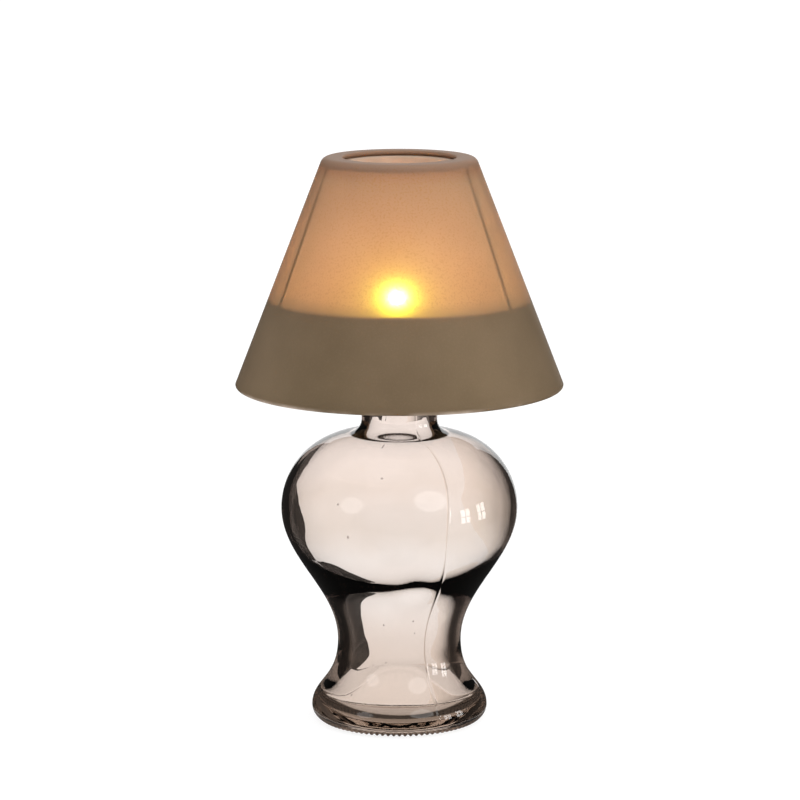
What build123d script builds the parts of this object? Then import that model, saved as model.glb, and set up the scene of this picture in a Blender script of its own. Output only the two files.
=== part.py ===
from build123d import *
import math
import os

# Candle lamp: a hollow glass base, a metal carrier plugged into its neck, a tealight and a frosted glass shade.
# Millimetres, +Z up, origin on the table under the middle of the foot, front towards -Y.

# Glass base, outer form
base_height = 176.0
neck_radius = 18.0
shoulder_round = 7.0
belly_radius = 56.3
belly_round = 35.8
belly_height = 102.6
waist_radius = 29.5
waist_height = 37.8
foot_radius = 42.0
foot_height = 5.7
bearing_outer_radius = 38.4
bearing_inner_radius = 34.5
push_up = 2.0
mouth_round = 1.5

# Handles that set how full the curves run between belly, waist and foot
belly_handle = 23.8
waist_upper_handle = 25.3
waist_lower_handle = 19.9
foot_handle = 10.1

# Glass base, hollow
neck_bore_radius = 14.0
bore_shoulder_round = 9.5
belly_wall = 3.1
waist_wall = 6.2
hollow_slope = 46.0
hollow_belly_round = 38.5
hollow_waist_handle = 13.5
floor_height = 4.3
floor_radius = 36.0
floor_round = 7.5
floor_handle = 2.0

# Stopper that plugs the carrier into the neck
stopper_flange_radius = 17.0
stopper_flange = 2.0
stopper_length = 22.0
stopper_end_chamfer = 1.0
sleeve_wall = 1.2
sleeve_inset = 3.0
neck_clearance = 0.3

# Sheet-metal carrier
sheet = 0.8
bend = 1.2
seam_clearance = 0.1
cup_height = 11.0
cup_flange_width = 5.8
dish_floor_width = 8.0
dish_depth = 14.0
dish_bend = 4.0
dish_rim_width = 6.0
rim_hem = 4.0
frame_height = 64.2
ring_opening_radius = 22.5
ring_edge_drop = 4.0
ring_edge_flare = 1.5
ring_skirt = 4.4
strut_radius = 1.0
strut_angles = {"strut_left": -64.0, "strut_right": 56.0, "strut_rear": 176.0}

# Rivet that holds cup and stopper together
rivet_radius = 2.0
rivet_head_radius = 4.0
rivet_head = 1.0
rivet_head_round = 0.6
rivet_length = 9.0

# Tealight
tealight_radius = 19.4
tealight_height = 15.0
foil = 0.4
foil_bend = 1.5
recess_radius = 13.0
recess_depth = 1.6
cup_clearance = 0.8
foil_bead = 0.5
wax_height = 10.4
wax_meniscus = 0.9
wick_radius = 0.9
wick_above_wax = 7.5
wick_lean = 25.0
tab_radius = 6.0
tab_thickness = 0.4
tab_collar_wall = 0.5
tab_collar_height = 2.5
wax_clearance = 0.05

# Frosted glass shade
shade_bottom_radius = 78.0
shade_top_radius = 35.9
shade_height = 108.6
shade_wall = 2.5
shade_opening_radius = 26.5
shade_lip = 2.5
shade_corner_round = 4.0
shade_edge_round = 1.0
rim_clearance = 1.0
ring_clearance = 0.5

# Heights stacked up from the mouth of the base
cup_bottom = base_height + stopper_flange
cup_floor = cup_bottom + sheet
cup_flange_top = cup_bottom + cup_height
dish_floor = cup_flange_top + sheet
dish_rim = cup_flange_top + dish_depth
ring_top = dish_rim + frame_height
shade_top = ring_top + shade_lip
shade_bottom = shade_top - shade_height

# Radii that follow from the pieces around them
cup_inner_radius = tealight_radius + cup_clearance
cup_flange_radius = cup_inner_radius + cup_flange_width
dish_hole_radius = cup_inner_radius + bend + seam_clearance
sleeve_radius = neck_bore_radius - neck_clearance
spigot_radius = sleeve_radius - sleeve_wall - seam_clearance
shade_slope = (shade_bottom_radius - shade_top_radius) / shade_height
shade_lean = math.atan(shade_slope)


def shade_radius(height, depth):
    """Radius of the cone that lies a given depth inside the shade's outer face."""
    return shade_top_radius + (shade_top - height) * shade_slope - depth / math.cos(shade_lean)


rim_depth = shade_wall + rim_clearance
skirt_depth = shade_wall + ring_clearance
strut_depth = skirt_depth + sheet + seam_clearance + strut_radius


def shoulder(neck, fillet_radius, belly_arc):
    """Ends of the hollow arc that leads from a neck into the belly's arc."""
    belly_centre = belly_radius - belly_round
    reach = neck + fillet_radius - belly_centre
    rise = math.sqrt((belly_arc + fillet_radius) ** 2 - reach**2)
    share = belly_arc / (belly_arc + fillet_radius)
    on_neck = (neck, belly_height + rise)
    on_belly = (belly_centre + reach * share, belly_height + rise * share)
    return on_neck, on_belly


def s_curve(upper, upper_handle, lower, lower_handle):
    """Curve between two places where the profile stands upright."""
    Bezier(upper, (upper[0], upper[1] - upper_handle), (lower[0], lower[1] + lower_handle), lower)


os.makedirs("parts", exist_ok=True)

# Glass base: one blown piece with a thin floor, open at the neck
outer_neck, outer_belly = shoulder(neck_radius, shoulder_round, belly_round)
inner_neck, inner_belly = shoulder(neck_bore_radius, bore_shoulder_round, belly_round - belly_wall)
belly_outside = (belly_radius, belly_height)
belly_inside = (belly_radius - belly_wall, belly_height)
waist_outside = (waist_radius, waist_height)
foot_outside = (foot_radius, foot_height)
floor_corner = (floor_radius, floor_height + floor_round)
floor_edge = (floor_radius - floor_round, floor_height)

# The hollow narrows faster than the outside: two arcs from belly to waist that meet at the hollow's steepest lean
hollow_turn = math.radians(hollow_slope)
hollow_join = (
    belly_inside[0] - hollow_belly_round * (1 - math.cos(hollow_turn)),
    belly_height - hollow_belly_round * math.sin(hollow_turn),
)
narrowing = belly_inside[0] - (waist_radius - waist_wall)
waist_inside = (waist_radius - waist_wall, belly_height - narrowing / math.tan(hollow_turn / 2))

with BuildPart() as glass_base:
    with BuildSketch(Plane.XZ):
        with BuildLine():
            Line((neck_bore_radius, base_height), (neck_radius, base_height))
            Line((neck_radius, base_height), outer_neck)
            TangentArc(outer_neck, outer_belly, tangent=(0, -1))
            TangentArc(belly_outside, outer_belly, tangent=(0, 1))
            s_curve(belly_outside, belly_handle, waist_outside, waist_upper_handle)
            s_curve(waist_outside, waist_lower_handle, foot_outside, foot_handle)
            TangentArc(foot_outside, (bearing_outer_radius, 0), tangent=(0, -1))
            Line((bearing_outer_radius, 0), (bearing_inner_radius, 0))
            TangentArc((0, push_up), (bearing_inner_radius, 0), tangent=(1, 0))
            Line((0, push_up), (0, floor_height))
            Line((0, floor_height), floor_edge)
            TangentArc(floor_edge, floor_corner, tangent=(1, 0))
            s_curve(waist_inside, hollow_waist_handle, floor_corner, floor_handle)
            TangentArc(waist_inside, hollow_join, tangent=(0, 1))
            TangentArc(belly_inside, hollow_join, tangent=(0, -1))
            TangentArc(belly_inside, inner_belly, tangent=(0, 1))
            TangentArc(inner_neck, inner_belly, tangent=(0, -1))
            Line(inner_neck, (neck_bore_radius, base_height))
        mouth = make_face()
        fillet(mouth.vertices().group_by(Axis.Y)[-1], mouth_round)
    revolve(axis=Axis.Z)
glass_base.part.label = "glass_base"

# Stopper: a turned plug whose flange stands on the mouth of the base
with BuildPart() as neck_stopper:
    with BuildSketch(Plane.XY.offset(base_height)):
        Circle(stopper_flange_radius)
    extrude(amount=stopper_flange)
    with BuildSketch(Plane.XY.offset(base_height)):
        Circle(spigot_radius)
    extrude(amount=-stopper_length)
    chamfer(neck_stopper.edges().group_by(Axis.Z)[0], stopper_end_chamfer)
    with BuildSketch(Plane.XY.offset(cup_bottom)):
        Circle(rivet_radius + seam_clearance)
    extrude(amount=-rivet_length, mode=Mode.SUBTRACT)
neck_stopper.part.label = "neck_stopper"

# Soft sleeve round the stopper, which fills the neck
with BuildPart() as stopper_sleeve:
    with BuildSketch(Plane.XY.offset(base_height - sleeve_inset)):
        Circle(sleeve_radius)
        Circle(spigot_radius + seam_clearance, mode=Mode.SUBTRACT)
    extrude(amount=2 * sleeve_inset - stopper_length)
stopper_sleeve.part.label = "stopper_sleeve"

# Candle cup: a drawn socket with an outward flange that carries the dish
with BuildPart() as candle_cup:
    with BuildSketch(Plane.XZ):
        with BuildLine():
            FilletPolyline(
                (rivet_radius + seam_clearance, cup_floor),
                (cup_inner_radius, cup_floor),
                (cup_inner_radius, cup_flange_top),
                (cup_flange_radius, cup_flange_top),
                radius=bend,
            )
            offset(amount=sheet, side=Side.RIGHT)
        make_face()
    revolve(axis=Axis.Z)
candle_cup.part.label = "candle_cup"

# Rivet through the floor of the cup into the stopper
with BuildPart() as centre_rivet:
    with BuildSketch(Plane.XY.offset(cup_floor)):
        Circle(rivet_radius)
    extrude(amount=seam_clearance + sheet - rivet_length)
    with BuildSketch(Plane.XY.offset(cup_floor)):
        Circle(rivet_head_radius)
    extrude(amount=rivet_head)
    fillet(centre_rivet.edges().group_by(Axis.Z)[-1], rivet_head_round)
centre_rivet.part.label = "centre_rivet"

# Drip dish: a pressed pan with a flat rim and a turned-down hem just inside the shade
dish_rim_radius = shade_radius(dish_rim, rim_depth)
with BuildPart() as drip_dish:
    with BuildSketch(Plane.XZ):
        with BuildLine():
            FilletPolyline(
                (dish_hole_radius, dish_floor),
                (dish_hole_radius + dish_floor_width, dish_floor),
                (dish_rim_radius - dish_rim_width, dish_rim),
                (dish_rim_radius, dish_rim),
                (shade_radius(dish_rim - rim_hem, rim_depth), dish_rim - rim_hem),
                radius=[dish_bend, bend, bend],
            )
            offset(amount=sheet, side=Side.RIGHT)
        make_face()
    revolve(axis=Axis.Z)
drip_dish.part.label = "drip_dish"

# Top ring: a pressed channel that the lip of the shade hangs on
ring_shoulder_radius = shade_radius(ring_top, skirt_depth)
with BuildPart() as top_ring:
    with BuildSketch(Plane.XZ):
        with BuildLine():
            FilletPolyline(
                (ring_opening_radius, ring_top - ring_edge_drop),
                (ring_opening_radius + ring_edge_flare, ring_top),
                (ring_shoulder_radius, ring_top),
                (shade_radius(ring_top - ring_skirt, skirt_depth), ring_top - ring_skirt),
                radius=bend,
            )
            offset(amount=sheet, side=Side.RIGHT)
        make_face()
    revolve(axis=Axis.Z)
top_ring.part.label = "top_ring"


def make_strut(angle):
    """Straight wire along the inside of the shade, from the rim of the dish to the ring, cut level at both ends."""
    foot = shade_radius(dish_rim, strut_depth)
    head_height = ring_top - sheet
    outward = Vector(math.sin(math.radians(angle)), -math.cos(math.radians(angle)), 0)
    climb = outward * (shade_radius(head_height, strut_depth) - foot) + Vector(0, 0, head_height - dish_rim)
    stand = Plane(outward * foot + Vector(0, 0, dish_rim), x_dir=outward, z_dir=(0, 0, 1))
    with BuildPart() as strut:
        with BuildSketch(stand):
            Ellipse(strut_radius / math.cos(shade_lean), strut_radius)
        extrude(amount=climb.length, dir=climb)
    return strut.part


struts = {}
for name, angle in strut_angles.items():
    struts[name] = make_strut(angle)
    struts[name].label = name

# Tealight cup: thin drawn foil with a raised floor and a rolled top edge
foil_top = cup_floor + tealight_height
with BuildPart() as tealight_cup:
    with BuildSketch(Plane.XZ):
        with BuildLine():
            FilletPolyline(
                (0, cup_floor + recess_depth),
                (recess_radius, cup_floor + recess_depth),
                (recess_radius + recess_depth, cup_floor),
                (tealight_radius, cup_floor),
                (tealight_radius, foil_top),
                radius=[foil, foil, foil_bend],
            )
            offset(amount=foil, side=Side.LEFT)
        make_face()
        with Locations((tealight_radius - foil / 2, foil_top - foil_bead)):
            Circle(foil_bead)
    revolve(axis=Axis.Z)
tealight_cup.part.label = "tealight_cup"

# Wick tab: a disc pressed on the raised floor, with a collar that grips the wick
tab_bottom = cup_floor + recess_depth + foil
with BuildPart() as wick_tab:
    with BuildSketch(Plane.XY.offset(tab_bottom)):
        Circle(tab_radius)
    extrude(amount=tab_thickness)
    with BuildSketch(Plane.XY.offset(tab_bottom + tab_thickness)):
        Circle(wick_radius + wax_clearance + tab_collar_wall)
        Circle(wick_radius + wax_clearance, mode=Mode.SUBTRACT)
    extrude(amount=tab_collar_height)
wick_tab.part.label = "wick_tab"

# Wick: a round cord that stands in the collar and leans over at its tip
wick_bottom = tab_bottom + tab_thickness
wax_top = tab_bottom + wax_height
with BuildPart() as wick:
    with BuildLine(Plane.XZ):
        Line((0, wick_bottom), (0, wax_top))
        JernArc((0, wax_top), (0, 1), wick_above_wax / math.radians(wick_lean), wick_lean)
    with BuildSketch(Plane.XY.offset(wick_bottom)):
        Circle(wick_radius)
    sweep()
wick.part.label = "wick"

# Wax: fills the foil round tab and wick, with a pool that rises to the foil
wax_radius = tealight_radius - foil - wax_clearance
with BuildPart() as tealight_wax:
    with BuildSketch(Plane.XZ):
        with BuildLine():
            Line((0, tab_bottom + wax_clearance), (wax_radius, tab_bottom + wax_clearance))
            Line((wax_radius, tab_bottom + wax_clearance), (wax_radius, wax_top + wax_meniscus))
            TangentArc((0, wax_top), (wax_radius, wax_top + wax_meniscus), tangent=(1, 0))
            Line((0, wax_top), (0, tab_bottom + wax_clearance))
        make_face()
    revolve(axis=Axis.Z)
    with BuildSketch(Plane.XY.offset(tab_bottom)):
        Circle(tab_radius + wax_clearance)
    extrude(amount=tab_thickness + wax_clearance, mode=Mode.SUBTRACT)
    with BuildSketch(Plane.XY.offset(tab_bottom)):
        Circle(wick_radius + 2 * wax_clearance + tab_collar_wall)
    extrude(amount=wick_bottom + tab_collar_height + wax_clearance - tab_bottom, mode=Mode.SUBTRACT)
    with BuildSketch(Plane.XY.offset(tab_bottom)):
        Circle(wick_radius + wax_clearance)
    extrude(amount=wax_height + wax_meniscus, mode=Mode.SUBTRACT)
tealight_wax.part.label = "tealight_wax"

# Shade: a straight cone with an inward lip at the top and rounded edges
lip_bottom = shade_top - shade_lip
with BuildPart() as shade:
    with BuildSketch(Plane.XZ):
        with BuildLine():
            Polyline(
                (shade_bottom_radius, shade_bottom),
                (shade_top_radius, shade_top),
                (shade_opening_radius, shade_top),
                (shade_opening_radius, lip_bottom),
                (shade_radius(lip_bottom, shade_wall), lip_bottom),
                (shade_radius(shade_bottom, shade_wall), shade_bottom),
                close=True,
            )
        section = make_face()
        fillet(section.vertices().sort_by_distance((shade_top_radius, shade_top))[0], shade_corner_round)
        fillet(section.vertices().group_by(Axis.Y)[0], shade_edge_round)
        fillet(section.vertices().group_by(Axis.X)[0], shade_edge_round)
    revolve(axis=Axis.Z)
shade.part.label = "shade"

for piece in (
    glass_base,
    neck_stopper,
    stopper_sleeve,
    candle_cup,
    centre_rivet,
    drip_dish,
    top_ring,
    tealight_cup,
    wick_tab,
    wick,
    tealight_wax,
    shade,
):
    export_step(piece.part, f"parts/{piece.part.label}.step")
for name, strut in struts.items():
    export_step(strut, f"parts/{name}.step")
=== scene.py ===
import math

import bpy
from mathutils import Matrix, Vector, noise


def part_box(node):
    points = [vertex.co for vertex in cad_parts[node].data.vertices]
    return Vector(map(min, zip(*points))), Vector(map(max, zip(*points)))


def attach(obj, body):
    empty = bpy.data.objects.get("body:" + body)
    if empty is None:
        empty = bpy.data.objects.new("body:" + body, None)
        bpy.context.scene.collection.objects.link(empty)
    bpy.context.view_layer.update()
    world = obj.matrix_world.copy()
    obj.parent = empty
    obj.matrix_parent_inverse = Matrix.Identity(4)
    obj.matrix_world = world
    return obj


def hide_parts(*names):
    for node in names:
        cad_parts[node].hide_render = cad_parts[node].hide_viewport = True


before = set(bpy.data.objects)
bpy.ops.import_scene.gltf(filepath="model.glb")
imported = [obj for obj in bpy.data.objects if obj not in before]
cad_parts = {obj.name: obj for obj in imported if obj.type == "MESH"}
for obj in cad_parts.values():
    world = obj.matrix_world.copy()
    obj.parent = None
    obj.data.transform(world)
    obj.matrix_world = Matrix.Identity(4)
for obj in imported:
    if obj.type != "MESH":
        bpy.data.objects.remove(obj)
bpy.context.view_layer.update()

# The pieces' sizes are in millimetres and their angles round the axis start at the front, -Y. The stage's sizes are in
# metres and its angles start at the back, +Y.
MM = 0.001
ON_AXIS = 1e-6

# How far apart the rows of a turned mesh lie
STEP, FILLET_STEP, FOOT_STEP, EDGE_STEP, FLAT_STEP, NECK_STEP = 1.9, 0.8, 0.6, 0.5, 5.0, 6.0
CURVE_STRETCH = 1.15

# Glass base, outside as the solid has it
BASE_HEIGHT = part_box("glass_base")[1].z / MM
NECK_RADIUS, NECK_BORE, MOUTH_ROUND, SHOULDER_ROUND = 18.0, 14.0, 1.5, 7.0
BELLY_RADIUS, BELLY_ROUND, BELLY_HEIGHT = 56.3, 35.8, 102.6
WAIST_RADIUS, WAIST_HEIGHT = 29.5, 37.8
FOOT_RADIUS, FOOT_HEIGHT, BEARING_OUTER, BEARING_INNER, PUSH_UP = 42.0, 5.7, 38.4, 34.5, 2.0
BELLY_HANDLE, WAIST_UPPER_HANDLE, WAIST_LOWER_HANDLE, FOOT_HANDLE = 23.8, 25.3, 19.9, 10.1

# Hollow of the base: up to about 2 mm off the solid's, fitted to the dark areas in the photograph
BELLY_WALL, WAIST_WALL = 3.1, 6.2
BORE_SHOULDER_ROUND, HOLLOW_SHOULDER_ROUND = 9.5, 34.4
HOLLOW_SLOPE, HOLLOW_BELLY_ROUND, HOLLOW_CONE, HOLLOW_HEIGHT = 47.9, 38.5, 2.3, 103.2
HOLLOW_WAIST_HANDLE, HOLLOW_WAIST_LOW = 13.5, 32.2
FLOOR_HEIGHT, FLOOR_RADIUS, FLOOR_ROUND, FLOOR_HANDLE = 4.3, 36.0, 7.5, 2.0
BELLY_BORE, WAIST_BORE = BELLY_RADIUS - BELLY_WALL, WAIST_RADIUS - WAIST_WALL

# What the smoky outer skin and the clear inner one let through, and what the inner one mirrors, by height. The outer
# tint is partly painted shade: it darkens up the neck, where the shade's shadow falls. The inner mirror share is
# painted light and shade, set band by band to darken the glass where it mirrors and to lighten it at the foot.
SMOKE_AND_SHADE_TINTS = (
    (10, (0.88, 0.71, 0.6)),
    (50, (0.8, 0.675, 0.6)),
    (85, (0.98, 0.91, 0.87)),
    (115, (0.78, 0.65, 0.56)),
    (140, (0.98, 0.84, 0.77)),
    (158, (0.95, 0.82, 0.75)),
    # Painted shade: darker up the neck, where the shade's shadow falls
    (166, (0.72, 0.6, 0.54)),
    (174, (0.5, 0.42, 0.39)),
)
CLEAR_TINTS = ((0, (0.985, 0.985, 0.985)), (176, (1.0, 1.0, 1.0)))
# Painted light and shade: how much the inner skin mirrors, lowered to darken some bands and raised at the foot
INNER_MIRROR_SHADING = (
    (6, (0.62, 0.57, 0.53)),
    (13, (0.3, 0.27, 0.25)),
    (50, (0.28, 0.25, 0.235)),
    (58, (0.26, 0.23, 0.215)),
    (65, (0.15, 0.125, 0.12)),
    (84, (0.14, 0.12, 0.115)),
    (92, (0.3, 0.27, 0.26)),
    (122, (0.3, 0.27, 0.26)),
    (129, (0.6, 0.56, 0.54)),
    (134, (0.6, 0.56, 0.54)),
    (136.5, (0.3, 0.27, 0.26)),
    (141, (0.3, 0.27, 0.26)),
    (148, (0.35, 0.31, 0.29)),
)
GLASS_IOR = 1.5

# How the glass is uneven: clouds in the tint, ripples on the skin and small bubbles. Here and below, noise is given by
# its scale and detail, a bump by its strength and distance.
TINT_CLOUDS, TINT_UNEVEN = (28.0, 3.0), 0.03
RIPPLES, RIPPLE_BUMP = (60.0, 2.0), (0.04, 0.001)
BUBBLE_COLOUR, BUBBLE_CORE, BUBBLE_EDGE, BUBBLE_RARITY = (0.25, 0.2, 0.18), 0.018, 0.03, 0.8
BUBBLE_CELLS_ROUND, BUBBLE_CELLS_PER_METRE = 14.0, 45.0

# Mould seams (the rear one is fainter), the knurled ring, and the waves and the dent of the inner skin
HALF_COLUMNS = 176
SEAM_ANGLE, SEAM_HEIGHT, SEAM_HALF_WIDTH, REAR_SEAM = 25.0, 0.18, 0.6, 0.5
SEAM_STARTS, SEAM_ENDS, SEAM_FLANK, SEAM_WIDEST = (4, 12), (138, 150), 0.6, 1.0
SEAM_SWINGS = ((1.1, 9.0, 0.0), (0.7, 23.0, 1.0))
KNURL_COUNT, KNURL_DEPTH, KNURL_INSET, KNURL_LOW, KNURL_TOP, KNURL_RUN_IN = 90, 1.0, 0.4, 0.6, 3.2, 1.5
WAVE_DEEP, WAVE_DEEP_SIZE, WAVE_FINE, WAVE_FINE_SIZE = 0.2, 26.0, 0.04, 9.0
WAVES_START, WAVES_END = (FLOOR_HEIGHT + 2, 20), (146, 154)
FLOOR_WAVE, FLOOR_WAVES_END = 0.5, (FLOOR_HEIGHT + 2, 14)
DENT_ANGLE, DENT_WIDTH, DENT_HEIGHT, DENT_REACH, DENT_SLOPE = 11.0, 11.0, 69.5, 8.0, 0.26

# Shade
SHADE_LOW, SHADE_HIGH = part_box("shade")
SHADE_BOTTOM, SHADE_TOP = SHADE_LOW.z / MM, SHADE_HIGH.z / MM
SHADE_BOTTOM_RADIUS, SHADE_TOP_RADIUS = SHADE_HIGH.x / MM, 35.9
SHADE_WALL, SHADE_LIP, SHADE_OPENING, SHADE_CORNER, SHADE_EDGE = 2.5, 2.5, 26.5, 4.0, 1.0
SHADE_RIM, SHADE_INNER_BEVEL, RIM_FACES, SHADE_COLUMNS = 1.2, 0.3, 8, 192
SHADE_STEP, LIP_STEP, CORNER_STEP = 4.0, 1.6, 0.4

# Frosted coat: its own colour, a painted glow that makes it redder at the top corner, a painted highlight on the lip,
# and where it is worn at the bottom
COAT_DARK, COAT_LIGHT = (0.122, 0.086, 0.049), (0.166, 0.118, 0.07)
CORNER_PAINTED_GLOW, LIP_PAINTED_HIGHLIGHT, COAT_WORN = (0.15, 0.082, 0.046), (0.27, 0.17, 0.115), (0.5, 0.4, 0.33)
CORNER_FROM, CORNER_FULL, LIP_FULL = SHADE_TOP - 9.0, SHADE_TOP - 4.5, SHADE_TOP - 0.5
RIM_WORN, RIM_WHOLE, NICKS_TOP = SHADE_BOTTOM + 0.4, SHADE_BOTTOM + 1.9, SHADE_BOTTOM + 26.0
COAT_CLOUDS, RUBBED_PATCHES, RUBBED_FROM, RUBBED_FULL = (22.0, 4.0), (35.0, 5.0), 0.42, 0.6
NICK_SCALE, NICK_CORE, NICK_EDGE, NICK_RARITY, NICK_STRENGTH = 75.0, 0.02, 0.045, 0.7, 0.8
COAT_GRAIN, COAT_BUMP, COAT_ROUGHNESS, COAT_GLOSS = (1500.0, 3.0), (0.06, 0.0004), 0.5, 0.15

# Frosted coat: the glow it passes on evenly, and what it passes on forwards (roughness, IOR, colour)
GLOW_LOW, GLOW_HIGH, GLOW_ASIDE = (0.147, 0.096, 0.052), (0.116, 0.084, 0.073), (0.036, 0.023, 0.021)
# The glow's colour changes with height as painted light and shade: dimmed just above the dish rim to soften the rim's
# shadow line, and greyer towards the top
GLOW_FROM, GLOW_TO, GLOW_RIM_SHADE, GLOW_FULL = 203.0, 262.0, 0.6, 0.1
FORWARD_LOBES = (
    (1.0, 1.45, (0.0032, 0.002, 0.0)),
    (0.8, 1.2, (0.0036, 0.0035, 0.0)),
    (0.6, 1.2, (0.0012, 0.0012, 0.0007)),
    (0.45, 1.15, (0.00025, 0.00025, 0.00025)),
)
FORWARD_FADE = 0.75
SPECKS, SPECK_FROM, SPECK_FULL, SPECK_GLOW, SPECK_FORWARD = (1100.0, 2.0), 0.32, 0.5, 0.72, 0.55

# Inner face of the shade
LINING_DARK, LINING_LIGHT, LINING_CLOUDS = (0.5, 0.35, 0.24), (0.6, 0.43, 0.31), (40.0, 3.0)
LINING_CLEAR, LINING_ROUGHNESS = 0.75, 0.45

# Where a cloudy finish is darkest and lightest in its noise, how fine its grain is and how its gloss spreads
CLOUD_DARK, CLOUD_LIGHT, CLOUD_DETAIL = 0.3, 0.7, 5.0
GRAIN_FINER, GRAIN_DETAIL, GRAIN_DISTANCE = 14, 2.0, 0.0005
GLOSSIER, DULLER = 0.08, 0.1

# Finishes of the CAD nodes: name, darker and lighter colour, roughness, other options and the nodes that wear it
FINISHES = (
    # This taupe is lighter than the paint's own colour, as painted light on the ring seen inside the opening
    ("taupe_paint_with_painted_light", (0.44, 0.32, 0.235), (0.54, 0.4, 0.3), 0.45, {},
     ("candle_cup", "drip_dish", "strut_left", "strut_right", "strut_rear", "top_ring")),
    ("dark_paint", (0.03, 0.026, 0.023), (0.05, 0.044, 0.04), 0.4, {}, ("neck_stopper",)),
    ("sleeve_rubber", (0.02, 0.018, 0.017), (0.035, 0.032, 0.03), 0.7, {}, ("stopper_sleeve",)),
    ("rivet_steel", (0.45, 0.44, 0.42), (0.6, 0.58, 0.56), 0.3, {"metallic": 1.0}, ("centre_rivet",)),
    ("tab_steel", (0.5, 0.49, 0.47), (0.62, 0.61, 0.59), 0.3, {"metallic": 1.0}, ("wick_tab",)),
    ("drawn_foil", (0.72, 0.72, 0.73), (0.82, 0.82, 0.83), 0.25, {"metallic": 1.0}, ("tealight_cup",)),
    ("paraffin_wax", (0.82, 0.76, 0.62), (0.9, 0.86, 0.76), 0.35, {}, ("tealight_wax",)),
    ("charred_wick", (0.01, 0.009, 0.008), (0.12, 0.1, 0.08), 0.9, {"scale": 500.0}, ("wick",)),
)

# Flame
FLAME_LENGTH, FLAME_WIDTH, FLAME_SINK, FLAME_ASIDE = 15.0, 7.0, 3.0, -1.0
FLAME_BULGE, FLAME_TAPER, FLAME_ROWS, FLAME_COLUMNS = 0.75, 0.25, 24, 24
FLAME_COLOURS = ((0, (1.0, 0.55, 0.2)), (0.4, (1.0, 0.82, 0.45)), (1, (1.0, 0.6, 0.18)))
FLAME_STRENGTH = 30.0

# Lights in the flame: name, rise over the wick, radius, watts, colour and whether it makes the hot spot
SPARKS = (
    ("glow_light", 4.6, 9.0, 0.5, (1.0, 0.72, 0.45), False),
    ("core_light", 2.2, 2.5, 2.0, (1, 1, 1), True),
)

# Stage: how low the floor and the cards on it lie, and the outlines of the two large dark cards seen from above,
# which are painted shadow of the lamp on the floor to its left and right
FLOOR_LEVEL, CARD_LEVEL, FLOOR_HALF = -0.0004, -0.0002, 8.0
FLOOR_GREYS, FLOOR_GLOW = ((0.24,) * 3, (0.27,) * 3), 0.84
LEFT_SHADOW = ((-0.033, 0.05), (-0.022, 0.083), (-0.16, 0.56), (-0.17, 0.75), (-0.185, 1.3), (-0.2, 1.8), (-2, 1.8),
               (-2, 0.0), (-0.05, 0.0))
RIGHT_SHADOW = ((0.06, 0.211), (0.06, 1.8), (2, 1.8), (2, 0.0), (0.22, 0.0), (0.21, 0.06), (0.18, 0.125), (0.13, 0.177))
WALL_DISTANCE, WALL_HEIGHT = 0.9, 2.2
SECTOR_STEP = 4
PAPER_WARMTH = (1.0, 0.96, 0.92)

# Brightness of the cards by direction (degrees, brightness), and of the far one by the way to the right (metres,
# brightness). The left card and the near and far right cards on the floor are painted shadow of the lamp; the walls are
# dark flags.
SHADOW_AND_FLAG_GRADE = ((-90, 1.05), (-76, 0.7), (-58, 0.07), (-40, 0.035), (90, 0.03))
NEAR_SHADOW_GRADE = ((16, 1.05), (24, 0.8), (32, 0.5), (40, 0.2), (52, 0.12), (62, 0.15), (80, 0.8), (90, 1.05))
FAR_SHADOW_GRADE = ((0.06, 1.08), (0.1, 0.92), (0.14, 0.7), (0.18, 0.48), (0.23, 0.26), (0.3, 0.13), (0.7, 0.13), (1.1, 1.0))
WALL_GRADE = ((24, 0.2), (40, 0.12), (62, 0.15), (80, 0.8), (90, 1.05))

# Lights that show only as reflections on the glass: windows (name, direction) and umbrellas (name, direction, radius,
# brightness from the middle to the edge, strength)
LAMP_HEIGHT = 0.1
WINDOW_WIDTH, WINDOW_HEIGHT, WINDOW_BAR = 0.17, 0.33, 0.02
WINDOW_REACH, WINDOW_FADE, WINDOW_STRENGTH = 0.2, ((0, 1.0), (0.6, 0.9), (1, 0.7)), 8.0
WINDOWS = (("window_near", (0.90, -0.42, 0.03)), ("window_far", (0.99, -0.1, 0.05)))
UMBRELLA_STEP = 10
UMBRELLAS = (
    ("umbrella_right", (0.47, -0.726, 0.504), 0.29, ((0, 0.7), (0.5, 0.8), (0.78, 1.0), (0.9, 0.6), (1, 0)), 2.2),
    ("umbrella_left", (-0.70, -0.62, 0.356), 0.22, ((0, 0.8), (0.5, 0.9), (0.75, 1.0), (0.9, 0.5), (1, 0)), 1.7),
)

# Side light and world
SIDE_LIGHT_PLACE, SIDE_LIGHT_AIM, SIDE_LIGHT_SIZE, SIDE_LIGHT_WATTS = (1.2, -0.7, 0.65), (0, 0, 0.2), 0.8, 6.0
WORLD_STRENGTH = 1.02

# Camera: where the photograph was taken from
CAMERA_DISTANCE, CAMERA_HEIGHT, CAMERA_PITCH, CAMERA_LENS = 1.5, 0.4372, 10.69, 145.1
CAMERA_SENSOR, CAMERA_SHIFT, CAMERA_CLIP = 36.0, 0.0007, (0.05, 50.0)


def put(name, data):
    """Adds an object to the scene."""
    piece = bpy.data.objects.new(name, data)
    bpy.context.scene.collection.objects.link(piece)
    return piece


# Profiles, as points (radius, height)

def arc(centre, radius, start, end, step=STEP):
    """Points on an arc, by its start and end angle in degrees."""
    count = max(3, round(abs(math.radians(end - start)) * radius / step))
    angles = [math.radians(start + (end - start) * i / count) for i in range(count + 1)]
    return [(centre[0] + radius * math.cos(a), centre[1] + radius * math.sin(a)) for a in angles]


def line(start, end, step=STEP):
    """Points on a straight run."""
    count = max(1, round(math.dist(start, end) / step))
    return [tuple(a + (b - a) * i / count for a, b in zip(start, end)) for i in range(count + 1)]


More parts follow.
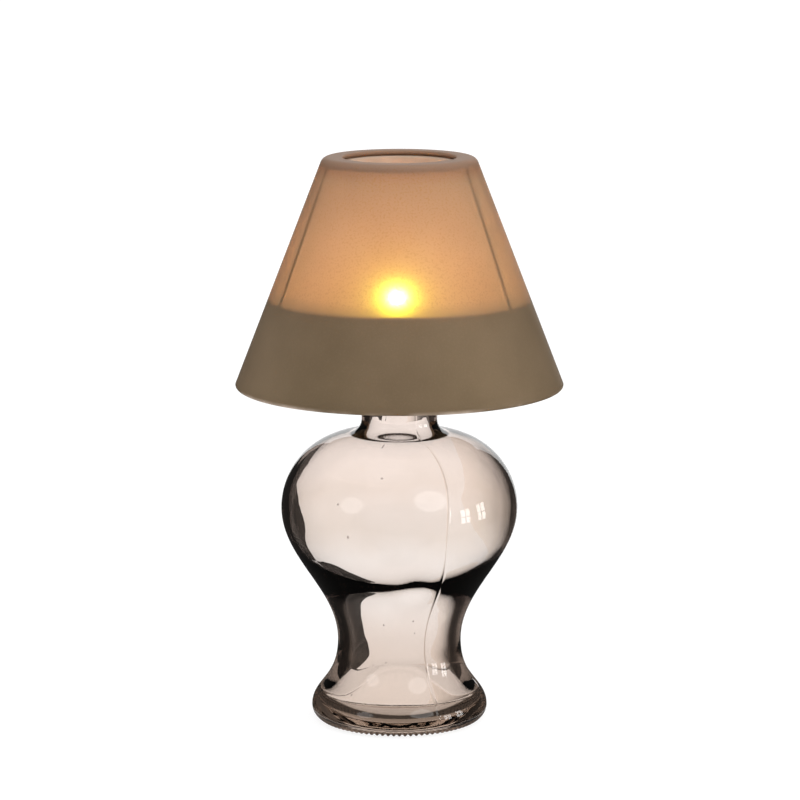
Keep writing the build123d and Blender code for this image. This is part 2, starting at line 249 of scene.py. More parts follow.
def s_curve(upper, upper_handle, lower, lower_handle):
    """Points on the curve between two places where the profile stands upright, from top to bottom."""
    count = round(CURVE_STRETCH * math.dist(upper, lower) / STEP)
    radii = (upper[0], upper[0], lower[0], lower[0])
    heights = (upper[1], upper[1] - upper_handle, lower[1] + lower_handle, lower[1])
    points = []
    for i in range(count + 1):
        t = i / count
        weights = ((1 - t) ** 3, 3 * (1 - t) ** 2 * t, 3 * (1 - t) * t**2, t**3)
        points.append((sum(w * r for w, r in zip(weights, radii)), sum(w * h for w, h in zip(weights, heights))))
    return points


def shoulder(neck, fillet, belly_radius, belly_arc, belly_height):
    """The run from a neck over its hollow arc onto the belly, from top to the belly's widest place."""
    belly_centre = (belly_radius - belly_arc, belly_height)
    reach = neck + fillet - belly_centre[0]
    rise = math.sqrt((belly_arc + fillet) ** 2 - reach**2)
    lean = math.degrees(math.atan2(rise, reach))
    hollow = arc((neck + fillet, belly_height + rise), fillet, 180, 180 + lean, FILLET_STEP)
    return hollow + arc(belly_centre, belly_arc, lean, 0)[1:]


def hollow_profile():
    """The inside of the glass, from the neck's bore down to the middle of the floor."""
    points = shoulder(NECK_BORE, BORE_SHOULDER_ROUND, BELLY_BORE, HOLLOW_SHOULDER_ROUND, HOLLOW_HEIGHT)
    # from belly to waist: an arc, a short cone and an arc the other way
    slope = math.radians(HOLLOW_SLOPE)
    both_rounds = (BELLY_BORE - WAIST_BORE - HOLLOW_CONE * math.sin(slope)) / (1 - math.cos(slope))
    waist_round = both_rounds - HOLLOW_BELLY_ROUND
    waist_height = HOLLOW_HEIGHT - both_rounds * math.sin(slope) - HOLLOW_CONE * math.cos(slope)
    points += arc((BELLY_BORE - HOLLOW_BELLY_ROUND, HOLLOW_HEIGHT), HOLLOW_BELLY_ROUND, 0, -HOLLOW_SLOPE)[1:]
    waist_arc = arc((WAIST_BORE + waist_round, waist_height), waist_round, 180 - HOLLOW_SLOPE, 180)
    points += line(points[-1], waist_arc[0])[1:-1] + waist_arc
    # straight down the waist, and out to the floor
    waist_low = (WAIST_BORE, HOLLOW_WAIST_LOW)
    floor_corner = (FLOOR_RADIUS, FLOOR_HEIGHT + FLOOR_ROUND)
    points += line(points[-1], waist_low)[1:]
    points += s_curve(waist_low, HOLLOW_WAIST_HANDLE, floor_corner, FLOOR_HANDLE)[1:]
    points += arc((FLOOR_RADIUS - FLOOR_ROUND, FLOOR_HEIGHT + FLOOR_ROUND), FLOOR_ROUND, 0, -90)[1:]
    return points + line(points[-1], (0, FLOOR_HEIGHT), FLAT_STEP)[1:]


def glass_profile():
    """Outline of the glass from the middle of the inside floor, up and over the mouth, down to the middle of the
    underside. Returns the points and the index where the outside starts."""
    mouth = BASE_HEIGHT - MOUTH_ROUND
    points = hollow_profile()[::-1]
    points += line(points[-1], (NECK_BORE, mouth), NECK_STEP)[1:]
    points += arc((NECK_BORE + MOUTH_ROUND, mouth), MOUTH_ROUND, 180, 90, EDGE_STEP)[1:]
    outside_from = len(points)
    points += arc((NECK_RADIUS - MOUTH_ROUND, mouth), MOUTH_ROUND, 90, 0, EDGE_STEP)
    outside = shoulder(NECK_RADIUS, SHOULDER_ROUND, BELLY_RADIUS, BELLY_ROUND, BELLY_HEIGHT)
    points += line(points[-1], outside[0], NECK_STEP)[1:-1] + outside
    waist = (WAIST_RADIUS, WAIST_HEIGHT)
    points += s_curve((BELLY_RADIUS, BELLY_HEIGHT), BELLY_HANDLE, waist, WAIST_UPPER_HANDLE)[1:]
    points += s_curve(waist, WAIST_LOWER_HANDLE, (FOOT_RADIUS, FOOT_HEIGHT), FOOT_HANDLE)[1:]
    inset = FOOT_RADIUS - BEARING_OUTER
    edge_round = (inset**2 + FOOT_HEIGHT**2) / (2 * inset)
    turn = math.degrees(math.atan2(FOOT_HEIGHT, edge_round - inset))
    points += arc((FOOT_RADIUS - edge_round, FOOT_HEIGHT), edge_round, 0, -turn, FOOT_STEP)[1:]
    points += line((BEARING_OUTER, 0), (BEARING_INNER, 0), FILLET_STEP)[1:]
    dome = (BEARING_INNER**2 + PUSH_UP**2) / (2 * PUSH_UP)
    spread = math.degrees(math.asin(BEARING_INNER / dome))
    points += arc((0, PUSH_UP - dome), dome, 90 - spread, 90, FLAT_STEP)[1:]
    return points, outside_from


def shade_profile():
    """Outline of the shade's wall, closed: up the outside, over the lip, down the inside and round the rim. Returns the
    points and the indices where the inside and the rim start."""
    slope = (SHADE_BOTTOM_RADIUS - SHADE_TOP_RADIUS) / (SHADE_TOP - SHADE_BOTTOM)
    lean = math.degrees(math.atan(slope))
    thick = SHADE_WALL / math.cos(math.radians(lean))

    def wall(height, depth=0.0):
        return SHADE_TOP_RADIUS + (SHADE_TOP - height) * slope - depth * thick

    rim = SHADE_BOTTOM + SHADE_RIM
    corner = SHADE_TOP - SHADE_CORNER
    corner_run = SHADE_CORNER * math.tan(math.radians(90 - lean) / 2)
    corner_centre = (SHADE_TOP_RADIUS - corner_run, corner)
    lip_edge = SHADE_OPENING + SHADE_EDGE
    lip_bottom = SHADE_TOP - SHADE_LIP
    below_lip = lip_bottom - SHADE_INNER_BEVEL
    points = line((wall(rim), rim), (wall(corner), corner), SHADE_STEP)[:-1]
    points += arc(corner_centre, SHADE_CORNER, lean, 90, CORNER_STEP)
    points += line((corner_centre[0], SHADE_TOP), (lip_edge, SHADE_TOP), LIP_STEP)[1:]
    points += arc((lip_edge, SHADE_TOP - SHADE_EDGE), SHADE_EDGE, 90, 270, CORNER_STEP)[1:-1]
    inner_from = len(points)
    points += [(lip_edge, lip_bottom), (wall(lip_bottom, 1) - SHADE_INNER_BEVEL, lip_bottom)]
    points += line((wall(below_lip, 1), below_lip), (wall(rim, 1), rim), SHADE_STEP)
    rim_from = len(points)
    for angle in [math.radians(180 + 180 * k / RIM_FACES) for k in range(1, RIM_FACES)]:
        points.append((wall(rim, 0.5) + thick / 2 * math.cos(angle), rim + SHADE_RIM * math.sin(angle)))
    return points, inner_from, rim_from


# Turned meshes

def ring(radius, height, columns):
    """Evenly spaced points round the axis."""
    if radius < ON_AXIS:
        return [(0, 0, height)]
    turns = [2 * math.pi * i / columns for i in range(columns)]
    return [(radius * math.sin(a), -radius * math.cos(a), height) for a in turns]


def lathe(name, rows, materials, closed=False, row_material=None):
    """A smooth mesh from rows of points round the axis. A row of one point is a pole; closed joins the last row to the
    first."""
    vertices = [point for row in rows for point in row]
    starts = [sum(len(row) for row in rows[:i]) for i in range(len(rows))]
    faces, slots = [], []
    pairs = list(zip(range(len(rows)), range(1, len(rows))))
    if closed:
        pairs.append((len(rows) - 1, 0))
    for first, second in pairs:
        count = max(len(rows[first]), len(rows[second]))
        for i in range(count):
            j = (i + 1) % count
            face = []
            for row, order in ((first, (i, j)), (second, (j, i))):
                if len(rows[row]) == 1:
                    face.append(starts[row])
                else:
                    face += [starts[row] + k for k in order]
            faces.append(face)
            slots.append(row_material(first) if row_material else 0)
    mesh = bpy.data.meshes.new(name)
    mesh.from_pydata([tuple(c * MM for c in v) for v in vertices], [], faces)
    mesh.polygons.foreach_set("use_smooth", [True] * len(faces))
    mesh.polygons.foreach_set("material_index", slots)
    for material in materials:
        mesh.materials.append(material)
    mesh.validate()
    mesh.update()
    return put(name, mesh)


def smooth_step(value, low, high):
    """0 below low, 1 above high and a soft rise between."""
    t = min(1.0, max(0.0, (value - low) / (high - low)))
    return t * t * (3 - 2 * t)


def seam_angle(height):
    """The mould seam's angle from the front. On its way down it swings a little, by (degrees, millimetres, phase)."""
    swings = [reach * math.sin(height / length + phase) for reach, length, phase in SEAM_SWINGS]
    return math.radians(sum(swings, SEAM_ANGLE))


def outer_skin(radius, height, angle, seam):
    """Radius and height of a point on the outside of the glass: raised on a seam, notched in the knurled ring."""
    seam *= smooth_step(height, *SEAM_STARTS) * (1 - smooth_step(height, *SEAM_ENDS))
    tooth = 0.5 - 0.5 * math.cos(KNURL_COUNT * angle)
    tooth *= 1 - smooth_step(height, KNURL_LOW, KNURL_TOP)
    tooth *= smooth_step(radius, BEARING_INNER, BEARING_INNER + KNURL_RUN_IN)
    notch = KNURL_DEPTH * tooth
    return radius + SEAM_HEIGHT * seam - KNURL_INSET * notch, height + notch


def inner_skin(radius, height, angle):
    """Radius and height of a point on the inside of the glass: waves all round, and a dent at the front."""
    place = Vector((math.sin(angle) * radius, math.cos(angle) * radius, height))
    waves = WAVE_DEEP * noise.noise(place / WAVE_DEEP_SIZE) + WAVE_FINE * noise.noise(place / WAVE_FINE_SIZE)
    aside = math.remainder(angle - math.radians(DENT_ANGLE), 2 * math.pi) / math.radians(DENT_WIDTH)
    above = (height - DENT_HEIGHT) / DENT_REACH
    dent = DENT_SLOPE * DENT_REACH * above * math.exp(-(above**2) - aside**2)
    on_wall = smooth_step(height, *WAVES_START) * (1 - smooth_step(height, *WAVES_END))
    on_floor = FLOOR_WAVE * (1 - smooth_step(height, *FLOOR_WAVES_END))
    return radius - dent + waves * on_wall, height + waves * on_floor


def make_glass(outer, inner):
    """The blown base: wavy inside, two mould seams outside and a knurled ring under the foot."""
    points, outside_from = glass_profile()
    last = len(points) - 1
    rows = []
    for index, (radius, height) in enumerate(points):
        if radius < ON_AXIS:
            rows.append([(0, 0, height)])
            continue
        ridge = min(SEAM_HALF_WIDTH / radius, math.radians(SEAM_WIDEST))
        span = math.pi - 2 * ridge
        offsets = [(-ridge, 0.0), (-ridge / 2, SEAM_FLANK), (0, 1.0), (ridge / 2, SEAM_FLANK), (ridge, 0.0)]
        offsets += [(ridge + span * k / (HALF_COLUMNS + 1), 0.0) for k in range(1, HALF_COLUMNS + 1)]
        row = []
        for turn, seam in ((0, 1.0), (math.pi, REAR_SEAM)):
            for offset, rise in offsets:
                angle = seam_angle(height) + turn + offset
                if index >= outside_from:
                    r, z = outer_skin(radius, height, angle, seam * rise)
                else:
                    r, z = inner_skin(radius, height, angle)
                row.append((r * math.sin(angle), -r * math.cos(angle), z))
        rows.append(row)

    def slot_of(row):
        return 0 if last - row > outside_from else 1

    return lathe("glass_vase", rows[::-1], [outer, inner], row_material=slot_of)


def make_shade(outer, inner):
    """The frosted cone with its rolled lip, closed round its wall."""
    points, inner_from, rim_from = shade_profile()

    def slot_of(row):
        return 1 if inner_from <= row < rim_from else 0

    rows = [ring(r, z, SHADE_COLUMNS) for r, z in points]
    return lathe("frosted_shade", rows, [outer, inner], closed=True, row_material=slot_of)


def make_flame(material, height):
    """A small teardrop of light over the wick."""
    rows = []
    for k in range(FLAME_ROWS + 1):
        t = k / FLAME_ROWS
        radius = FLAME_WIDTH / 2 * math.sin(math.pi * t**FLAME_BULGE) * (1 - FLAME_TAPER * t)
        rows.append(ring(max(radius, 0.0), height + FLAME_LENGTH * t, FLAME_COLUMNS))
    return lathe("candle_flame", rows, [material])


# Shader nodes

def add(tree, kind, inputs=None, **settings):
    """Adds a shader node, sets its options and fills its inputs with values or with other nodes' sockets."""
    node = tree.nodes.new(kind)
    for key, value in settings.items():
        setattr(node, key, value)
    for key, value in (inputs or {}).items():
        if isinstance(value, bpy.types.NodeSocket):
            tree.links.new(value, node.inputs[key])
        else:
            node.inputs[key].default_value = value
    return node


def new_material(name):
    """An empty node material. Returns it with its tree, its surface socket and the place on the object."""
    material = bpy.data.materials.new(name)
    material.use_nodes = True
    tree = material.node_tree
    tree.nodes.clear()
    output = tree.nodes.new("ShaderNodeOutputMaterial")
    return material, tree, output.inputs["Surface"], add(tree, "ShaderNodeTexCoord").outputs["Object"]


def axis_of(tree, vector, axis):
    """One coordinate of a vector."""
    return add(tree, "ShaderNodeSeparateXYZ", {"Vector": vector}).outputs[axis]


def mottle(tree, place, scale, detail):
    """Noise between 0 and 1."""
    return add(tree, "ShaderNodeTexNoise", {"Vector": place, "Scale": scale, "Detail": detail}).outputs["Fac"]


def maths(tree, operation, *values):
    """One step of arithmetic."""
    return add(tree, "ShaderNodeMath", dict(enumerate(values)), operation=operation).outputs["Value"]


def between(tree, value, low, high, at_low=0.0, at_high=1.0):
    """How far a value has gone from low to high."""
    limits = {"From Min": low, "From Max": high, "To Min": at_low, "To Max": at_high}
    return add(tree, "ShaderNodeMapRange", {"Value": value, **limits}).outputs["Result"]


def blend(tree, factor, first, second):
    """A colour between two, each a socket or a plain colour."""
    first, second = (c if isinstance(c, bpy.types.NodeSocket) else (*c, 1) for c in (first, second))
    return add(tree, "ShaderNodeMix", {"Factor": factor, "A": first, "B": second}, data_type="RGBA").outputs[2]


def ramp(tree, level, stops):
    """A colour that changes with a level, by (position, colour)."""
    node = add(tree, "ShaderNodeValToRGB", {"Fac": level})
    marks = node.color_ramp.elements
    marks.remove(marks[1])
    for index, (position, colour) in enumerate(stops):
        mark = marks.new(position) if index else marks[0]
        mark.position = position
        mark.color = (*colour, 1)
    return node.outputs["Color"]


def cloudy(tree, level, dark, light):
    """A colour that changes between two as noise does."""
    return ramp(tree, level, ((CLOUD_DARK, dark), (CLOUD_LIGHT, light)))


def height_ramp(tree, height, stops):
    """A colour that changes up the glass, by (millimetres, colour)."""
    level = between(tree, height, 0.0, BASE_HEIGHT * MM)
    return ramp(tree, level, [(mark / BASE_HEIGHT, colour) for mark, colour in stops])


def bumps(tree, height, strength, distance):
    """The normal of a bumpy surface."""
    bump = add(tree, "ShaderNodeBump", {"Height": height, "Strength": strength, "Distance": distance})
    return bump.outputs["Normal"]


def few_dots(tree, place, scale, inner, outer, rarity, strength=1.0, **settings):
    """Small dots in the cells of a pattern. Returns the dots and which few cells keep theirs."""
    cells = add(tree, "ShaderNodeTexVoronoi", {"Vector": place, "Scale": scale}, **settings)
    dot = between(tree, cells.outputs["Distance"], inner, outer, strength, 0.0)
    lot = add(tree, "ShaderNodeSeparateColor", {"Color": cells.outputs["Color"]}).outputs["Red"]
    return dot, maths(tree, "GREATER_THAN", lot, rarity)


def shine(material, tree, surface, colour, strength):
    """Makes a material give off light, which isn't sampled as a lamp."""
    light = add(tree, "ShaderNodeEmission", {"Color": colour, "Strength": strength})
    tree.links.new(light.outputs["Emission"], surface)
    material.cycles.emission_sampling = "NONE"


# Materials

def bubbles(tree, place, height):
    """Where a few small bubbles lie in the glass, on a sheet unrolled round the axis."""
    turn = add(tree, "ShaderNodeTexGradient", {"Vector": place}, gradient_type="RADIAL").outputs["Fac"]
    across = maths(tree, "MULTIPLY", turn, BUBBLE_CELLS_ROUND)
    up = maths(tree, "MULTIPLY", height, BUBBLE_CELLS_PER_METRE)
    sheet = add(tree, "ShaderNodeCombineXYZ", {"X": across, "Y": up}).outputs["Vector"]
    dot, rare = few_dots(tree, sheet, 1.0, BUBBLE_CORE, BUBBLE_EDGE, BUBBLE_RARITY, voronoi_dimensions="2D")
    return maths(tree, "MULTIPLY", dot, rare)


def clear_glass(name, tints, mirror=None):
    """Clear glass whose skin tints what is seen through it, by height (millimetres, colour), with a slight unevenness.
    With a mirror colour by height, the skin mirrors only that share of what clear glass would, as fitted to the
    photograph. That share is painted shade, and at the foot painted light, in place of what the glass would mirror."""
    material, tree, surface, place = new_material(name)
    height = axis_of(tree, place, "Z")
    uneven = maths(tree, "MULTIPLY_ADD", mottle(tree, place, *TINT_CLOUDS), TINT_UNEVEN, height)
    tint = height_ramp(tree, uneven, tints)
    finish = {"Roughness": 0.0, "Normal": bumps(tree, mottle(tree, place, *RIPPLES), *RIPPLE_BUMP)}
    if mirror is None:
        tint = blend(tree, bubbles(tree, place, height), tint, BUBBLE_COLOUR)
        glass = add(tree, "ShaderNodeBsdfPrincipled", {
            "Base Color": tint, "IOR": GLASS_IOR, "Transmission Weight": 1.0, **finish})
        tree.links.new(glass.outputs["BSDF"], surface)
    else:
        through = add(tree, "ShaderNodeBsdfRefraction", {"Color": tint, "IOR": GLASS_IOR, **finish})
        back = add(tree, "ShaderNodeBsdfGlossy", {"Color": height_ramp(tree, height, mirror), **finish})
        share = add(tree, "ShaderNodeFresnel", {"IOR": GLASS_IOR, "Normal": finish["Normal"]})
        both = add(tree, "ShaderNodeMixShader", {
            "Fac": share.outputs["Fac"], 1: through.outputs["BSDF"], 2: back.outputs["BSDF"]})
        tree.links.new(both.outputs["Shader"], surface)
    return material


def coat_colour(tree, place, height):
    """The colour of the sprayed coat: cloudy, redder at the top corner as a painted glow, lighter on the lip as a
    painted highlight, rubbed off here and there at the bottom rim and nicked in a few places above it."""
    coat = cloudy(tree, mottle(tree, place, *COAT_CLOUDS), COAT_DARK, COAT_LIGHT)
    # Painted light: the glow at the top corner and the highlight on the lip
    corner_glow_mask = between(tree, height, CORNER_FROM * MM, CORNER_FULL * MM)
    lip_highlight_mask = between(tree, height, CORNER_FULL * MM, LIP_FULL * MM)
    colour = blend(tree, corner_glow_mask, coat, blend(tree, lip_highlight_mask, CORNER_PAINTED_GLOW, LIP_PAINTED_HIGHLIGHT))
    at_rim = between(tree, height, RIM_WORN * MM, RIM_WHOLE * MM, 1.0, 0.0)
    rubbed = between(tree, mottle(tree, place, *RUBBED_PATCHES), RUBBED_FROM, RUBBED_FULL)
    dot, rare = few_dots(tree, place, NICK_SCALE, NICK_CORE, NICK_EDGE, NICK_RARITY, NICK_STRENGTH)
    low = maths(tree, "LESS_THAN", height, NICKS_TOP * MM)
    nicks = maths(tree, "MULTIPLY", dot, maths(tree, "MULTIPLY", rare, low))
    wear = maths(tree, "MAXIMUM", maths(tree, "MULTIPLY", at_rim, rubbed), nicks)
    return blend(tree, wear, colour, COAT_WORN)


def frosted_glass():
    """Sprayed, frosted glass: a taupe coat that glows where the flame lights it, with a soft hot spot before the
    flame."""
    material, tree, surface, place = new_material("frosted_taupe")
    height = axis_of(tree, place, "Z")
    skin = add(tree, "ShaderNodeBsdfPrincipled", {
        "Base Color": coat_colour(tree, place, height), "Roughness": COAT_ROUGHNESS, "Specular IOR Level": COAT_GLOSS,
        "Normal": bumps(tree, mottle(tree, place, *COAT_GRAIN), *COAT_BUMP)})
    speck = between(tree, mottle(tree, place, *SPECKS), SPECK_FROM, SPECK_FULL)
    facing = add(tree, "ShaderNodeLayerWeight", {"Blend": 0.5}).outputs["Facing"]

    def dulled(colour, share):
        return tuple(share * c for c in colour)

    # Painted light and shade in the glow: dimmed just above the dish rim to soften its shadow line, greyer towards the
    # top
    climb = between(tree, height, GLOW_FROM * MM, GLOW_TO * MM)
    tone = ramp(tree, climb, ((0, dulled(GLOW_LOW, GLOW_RIM_SHADE)), (GLOW_FULL, GLOW_LOW), (1, GLOW_HIGH)))
    warm = blend(tree, speck, dulled(GLOW_LOW, SPECK_GLOW), tone)
    glow = add(tree, "ShaderNodeBsdfTranslucent", {"Color": blend(tree, facing, warm, GLOW_ASIDE)})
    total = add(tree, "ShaderNodeAddShader", {0: skin.outputs["BSDF"], 1: glow.outputs["BSDF"]})
    aside = between(tree, facing, 0.0, FORWARD_FADE)
    for roughness, bend, hue in FORWARD_LOBES:
        dotted = blend(tree, speck, dulled(hue, SPECK_FORWARD), hue)
        forward = add(tree, "ShaderNodeBsdfRefraction", {
            "Color": blend(tree, aside, dotted, (0, 0, 0)), "Roughness": roughness, "IOR": bend})
        total = add(tree, "ShaderNodeAddShader", {0: total.outputs["Shader"], 1: forward.outputs["BSDF"]})
    tree.links.new(total.outputs["Shader"], surface)
    return material


def shade_lining():
    """The inner face of the shade: lets most light through to the frosted coat and shows a little taupe itself."""
    material, tree, surface, place = new_material("shade_lining")
    coat = ramp(tree, mottle(tree, place, *LINING_CLOUDS), ((0, LINING_DARK), (1, LINING_LIGHT)))
    skin = add(tree, "ShaderNodeBsdfPrincipled", {"Base Color": coat, "Roughness": LINING_ROUGHNESS})
    clear = add(tree, "ShaderNodeBsdfTransparent", {"Color": (1, 1, 1, 1)})
    mixed = add(tree, "ShaderNodeMixShader", {"Fac": LINING_CLEAR, 1: skin.outputs["BSDF"], 2: clear.outputs["BSDF"]})
    tree.links.new(mixed.outputs["Shader"], surface)
    return material


def speckled(name, dark, light, roughness, metallic=0.0, scale=90.0, bump_strength=0.1):
    """A plain finish with fine mottling in colour, gloss and surface. Returns the material and its shader node."""
    material, tree, surface, place = new_material(name)
    cloud = mottle(tree, place, scale, CLOUD_DETAIL)
    grain = mottle(tree, place, scale * GRAIN_FINER, GRAIN_DETAIL)
    skin = add(tree, "ShaderNodeBsdfPrincipled", {
        "Base Color": cloudy(tree, cloud, dark, light),
        "Roughness": between(tree, cloud, 0.0, 1.0, roughness - GLOSSIER, roughness + DULLER),
        "Metallic": metallic,
        "Normal": bumps(tree, grain, bump_strength, GRAIN_DISTANCE)})
    tree.links.new(skin.outputs["BSDF"], surface)
    return material, skin


def flame_light_material():
    """Pale yellow in the middle, orange towards the foot and the tip."""
    material, tree, surface, _ = new_material("flame_glow")
    upward = axis_of(tree, add(tree, "ShaderNodeTexCoord").outputs["Generated"], "Z")
    shine(material, tree, surface, ramp(tree, upward, FLAME_COLOURS), FLAME_STRENGTH)
    return material


def card_material(name, stops, across=False):
    """A card whose brightness changes with the direction round the lamp (degrees, brightness), or with the way across
    it (metres, brightness)."""
    material, tree, surface, place = new_material(name)
    if across:
        start, end = stops[0][0], stops[-1][0]
        level = between(tree, axis_of(tree, place, "X"), start, end)
        marks = [((x - start) / (end - start), grey) for x, grey in stops]
    else:
        level = add(tree, "ShaderNodeTexGradient", {"Vector": place}, gradient_type="RADIAL").outputs["Fac"]
        marks = sorted(((90 - angle) / 360 + 0.5, grey) for angle, grey in stops)
    colours = [(position, tuple(share * grey for share in PAPER_WARMTH)) for position, grey in marks]
    shine(material, tree, surface, ramp(tree, level, colours), 1.0)
    return material


def even_card(name, left, right):
    """The material of a card that is nearly as bright on one side as on the other."""
    return card_material(name, [(-90, left), (90, right)])


def dress_node(name, material):
    """Gives a CAD node a finish in place of its plain one."""
    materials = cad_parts[name].data.materials
    if len(materials) == 0:
        materials.append(material)
    for index in range(len(materials)):
        materials[index] = material


# Stage and lights

def spark(name, flame, height, radius, watts, colour, forward):
    """A light in the flame, for the even glow of what stands round it or, if forward, for the hot spot on the shade."""
    light = bpy.data.lights.new(name, "POINT")
    light.energy = watts
    light.color = colour
    light.shadow_soft_size = radius * MM
    lamp = put(name, light)
    lamp.location = (FLAME_ASIDE * MM, 0, height * MM)
    lamp.parent = flame
    lamp.visible_camera = False
    lamp.visible_glossy = False
    lamp.visible_diffuse = not forward
    lamp.visible_transmission = forward


def stage_card(name, vertices, faces, material, through=True, mirrored=True):
    """A card of the studio that shows only through the glass, mirrored on it, or both."""
    mesh = bpy.data.meshes.new(name)
    mesh.from_pydata(vertices, [], faces)
    mesh.materials.append(material)
    card = put(name, mesh)
    card.visible_camera = False
    card.visible_diffuse = False
    card.visible_shadow = False
    card.visible_glossy = mirrored
    card.visible_transmission = through
    return card


def floor_card(name, outline, material):
    """A card that lies on the floor, by its outline from above, and shows only through the glass."""
    vertices = [(x, y, CARD_LEVEL) for x, y in outline]
    stage_card(name, vertices, [tuple(range(len(outline)))], material, mirrored=False)


def sector(name, start, end, near, far, top, material, through=True, mirrored=True):
    """A card that covers a range of directions round the lamp, in degrees from straight behind it towards the right:
    a strip of floor from near to far, and an upright wall at its far end."""
    steps = max(4, round(abs(end - start) / SECTOR_STEP))
    vertices, faces = [], []
    for k in range(steps + 1):
        turn = math.radians(start + (end - start) * k / steps)
        for radius, height in ((near, CARD_LEVEL), (far, CARD_LEVEL), (far, top)):
            vertices.append((radius * math.sin(turn), radius * math.cos(turn), height))
    for k in range(steps):
        a, b = 3 * k, 3 * k + 3
        if far > near:
            faces.append((a, a + 1, b + 1, b))
        if top > CARD_LEVEL:
            faces.append((a + 1, a + 2, b + 2, b + 1))
    stage_card(name, vertices, faces, material, through, mirrored)


def lamp_card(name, direction, outlines, reach, stops, strength):
    """A soft light that shows only as a reflection: flat shapes, by their outlines in metres, a metre away from the
    lamp in a given direction, with a brightness that changes from their middle to the reach."""
    material, tree, surface, place = new_material(name)
    away = add(tree, "ShaderNodeVectorMath", {0: place}, operation="LENGTH").outputs["Value"]
    greys = [(position, (grey, grey, grey)) for position, grey in stops]
    shine(material, tree, surface, ramp(tree, between(tree, away, 0.0, reach), greys), strength)
    vertices, faces = [], []
    for outline in outlines:
        faces.append(tuple(range(len(vertices), len(vertices) + len(outline))))
        vertices += [(x, y, 0) for x, y in outline]
    card = stage_card(name, vertices, faces, material, through=False)
    aim = Vector(direction).normalized()
    card.location = aim + Vector((0, 0, LAMP_HEIGHT))
    card.rotation_euler = aim.to_track_quat("Z", "Y").to_euler()


def window(width, height, bar):
    """The outlines of a window of four panes."""
    columns, rows = [((-size / 2, -bar / 2), (bar / 2, size / 2)) for size in (width, height)]
    return [((left, low), (right, low), (right, high), (left, high)) for left, right in columns for low, high in rows]


def umbrella(radius):
    """The outline of a round umbrella."""
    turns = [math.radians(angle) for angle in range(0, 360, UMBRELLA_STEP)]
    return [[(radius * math.cos(a), radius * math.sin(a)) for a in turns]]


# The lamp
smoky_shaded_skin = clear_glass("smoke_tinted_glass_with_painted_shade", SMOKE_AND_SHADE_TINTS)
glass = make_glass(smoky_shaded_skin, clear_glass("clear_glass", CLEAR_TINTS, INNER_MIRROR_SHADING))
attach(glass, "base")
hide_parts("glass_base")

shade = make_shade(frosted_glass(), shade_lining())
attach(shade, "lampshade")
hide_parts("shade")

for finish, dark, light, roughness, options, nodes in FINISHES:
    material, _ = speckled(finish, dark, light, roughness, **options)
    for node in nodes:
        dress_node(node, material)

wick_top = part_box("wick")[1].z / MM
flame = make_flame(flame_light_material(), wick_top - FLAME_SINK)
flame.visible_shadow = False
flame.visible_diffuse = False
flame.visible_transmission = False
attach(flame, "tealight")
for name, rise, radius, watts, colour, forward in SPARKS:
    spark(name, flame, wick_top + rise, radius, watts, colour, forward)

# The floor, which gives off light of its own so that it stays pale all over
floor_mesh = bpy.data.meshes.new("floor")
floor_corners = [(x * FLOOR_HALF, y * FLOOR_HALF, FLOOR_LEVEL) for x, y in ((-1, -1), (1, -1), (1, 1), (-1, 1))]
floor_mesh.from_pydata(floor_corners, [], [(0, 1, 2, 3)])
floor = put("floor", floor_mesh)
pale_floor, floor_skin = speckled("pale_floor", *FLOOR_GREYS, roughness=0.8, scale=3.0, bump_strength=0.0)
floor_skin.inputs["Emission Color"].default_value = (1, 1, 1, 1)
floor_skin.inputs["Emission Strength"].default_value = FLOOR_GLOW
floor_skin.inputs["Specular IOR Level"].default_value = 0.0
pale_floor.cycles.emission_sampling = "NONE"
floor_mesh.materials.append(pale_floor)

# Cards that draw the dark areas in the glass: painted shadow of the lamp on the floor and dark walls left and right
# behind it, a dark surround for what it mirrors, and painted shadow on the floor under it
shadow_and_flag = card_material("painted_shadow_and_flag", SHADOW_AND_FLAG_GRADE)
near_shadow_grade = card_material("near_shadow_grade", NEAR_SHADOW_GRADE)
far_shadow_grade = card_material("far_shadow_grade", FAR_SHADOW_GRADE, across=True)
wall_grade = card_material("wall_grade", WALL_GRADE)
# Painted shadow of the lamp on the floor behind it to the left, and a dark flag wall
floor_card("left_shadow", LEFT_SHADOW, shadow_and_flag)
sector("left_wall", -90, -24, WALL_DISTANCE, WALL_DISTANCE, WALL_HEIGHT, shadow_and_flag, mirrored=False)
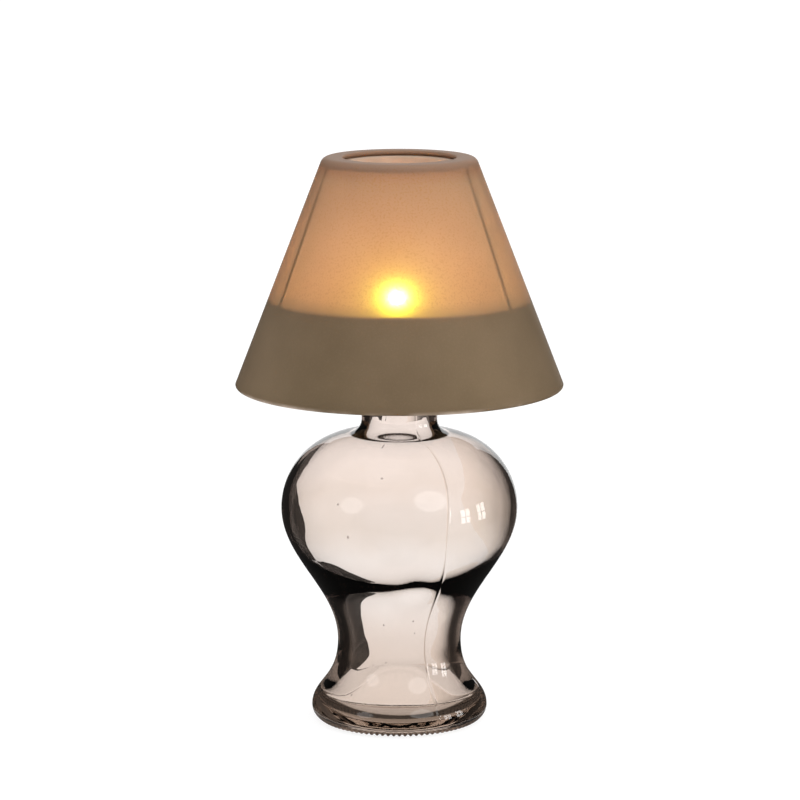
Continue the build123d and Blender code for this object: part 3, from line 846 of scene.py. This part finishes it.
# Painted shadow of the lamp on the floor behind it to the right, near and far
sector("right_near_shadow", 16, 90, 0.05, 0.22, CARD_LEVEL, near_shadow_grade, mirrored=False)
floor_card("right_shadow", RIGHT_SHADOW, far_shadow_grade)
sector("right_wall", 24, 90, WALL_DISTANCE, WALL_DISTANCE, WALL_HEIGHT, wall_grade, mirrored=False)
sector("mirror_flag", 24, 344, 0.047, 2.0, 5.0, even_card("dark_felt", 0.03, 0.035), through=False)
# Painted contact shadow on the floor under the foot, darkest in a ring under its edge
sector("foot_shade", 0, 360, 0.0, 0.034, CARD_LEVEL, even_card("foot_shade", 0.5, 0.52))
sector("foot_shadow_ring", 0, 360, 0.034, 0.046, CARD_LEVEL, even_card("foot_shadow_ring", 0.12, 0.13))

for name, direction in WINDOWS:
    panes = window(WINDOW_WIDTH, WINDOW_HEIGHT, WINDOW_BAR)
    lamp_card(name, direction, panes, WINDOW_REACH, WINDOW_FADE, WINDOW_STRENGTH)
for name, direction, radius, fade, strength in UMBRELLAS:
    lamp_card(name, direction, umbrella(radius), radius, fade, strength)

soft_light = bpy.data.lights.new("side_light", "AREA")
soft_light.size = SIDE_LIGHT_SIZE
soft_light.energy = SIDE_LIGHT_WATTS
soft_object = put("side_light", soft_light)
soft_object.location = SIDE_LIGHT_PLACE
soft_object.rotation_euler = (soft_object.location - Vector(SIDE_LIGHT_AIM)).to_track_quat("Z", "Y").to_euler()
soft_object.visible_glossy = False
soft_object.visible_transmission = False
soft_object.visible_camera = False

world = bpy.data.worlds.new("studio")
world.use_nodes = True
bpy.context.scene.world = world
background = world.node_tree.nodes["Background"]
background.inputs["Color"].default_value = (1, 1, 1, 1)
background.inputs["Strength"].default_value = WORLD_STRENGTH

camera = bpy.data.cameras.new("photo_camera")
camera.lens = CAMERA_LENS
camera.sensor_width = CAMERA_SENSOR
camera.shift_x = CAMERA_SHIFT
camera.clip_start, camera.clip_end = CAMERA_CLIP
camera_object = put("photo_camera", camera)
camera_object.location = (0, -CAMERA_DISTANCE, CAMERA_HEIGHT)
camera_object.rotation_euler = (math.radians(90 - CAMERA_PITCH), 0, 0)
bpy.context.scene.camera = camera_object
bpy.context.scene.view_settings.view_transform = "Standard"
cycles = bpy.context.scene.cycles
cycles.max_bounces, cycles.glossy_bounces, cycles.transmission_bounces = 32, 24, 32
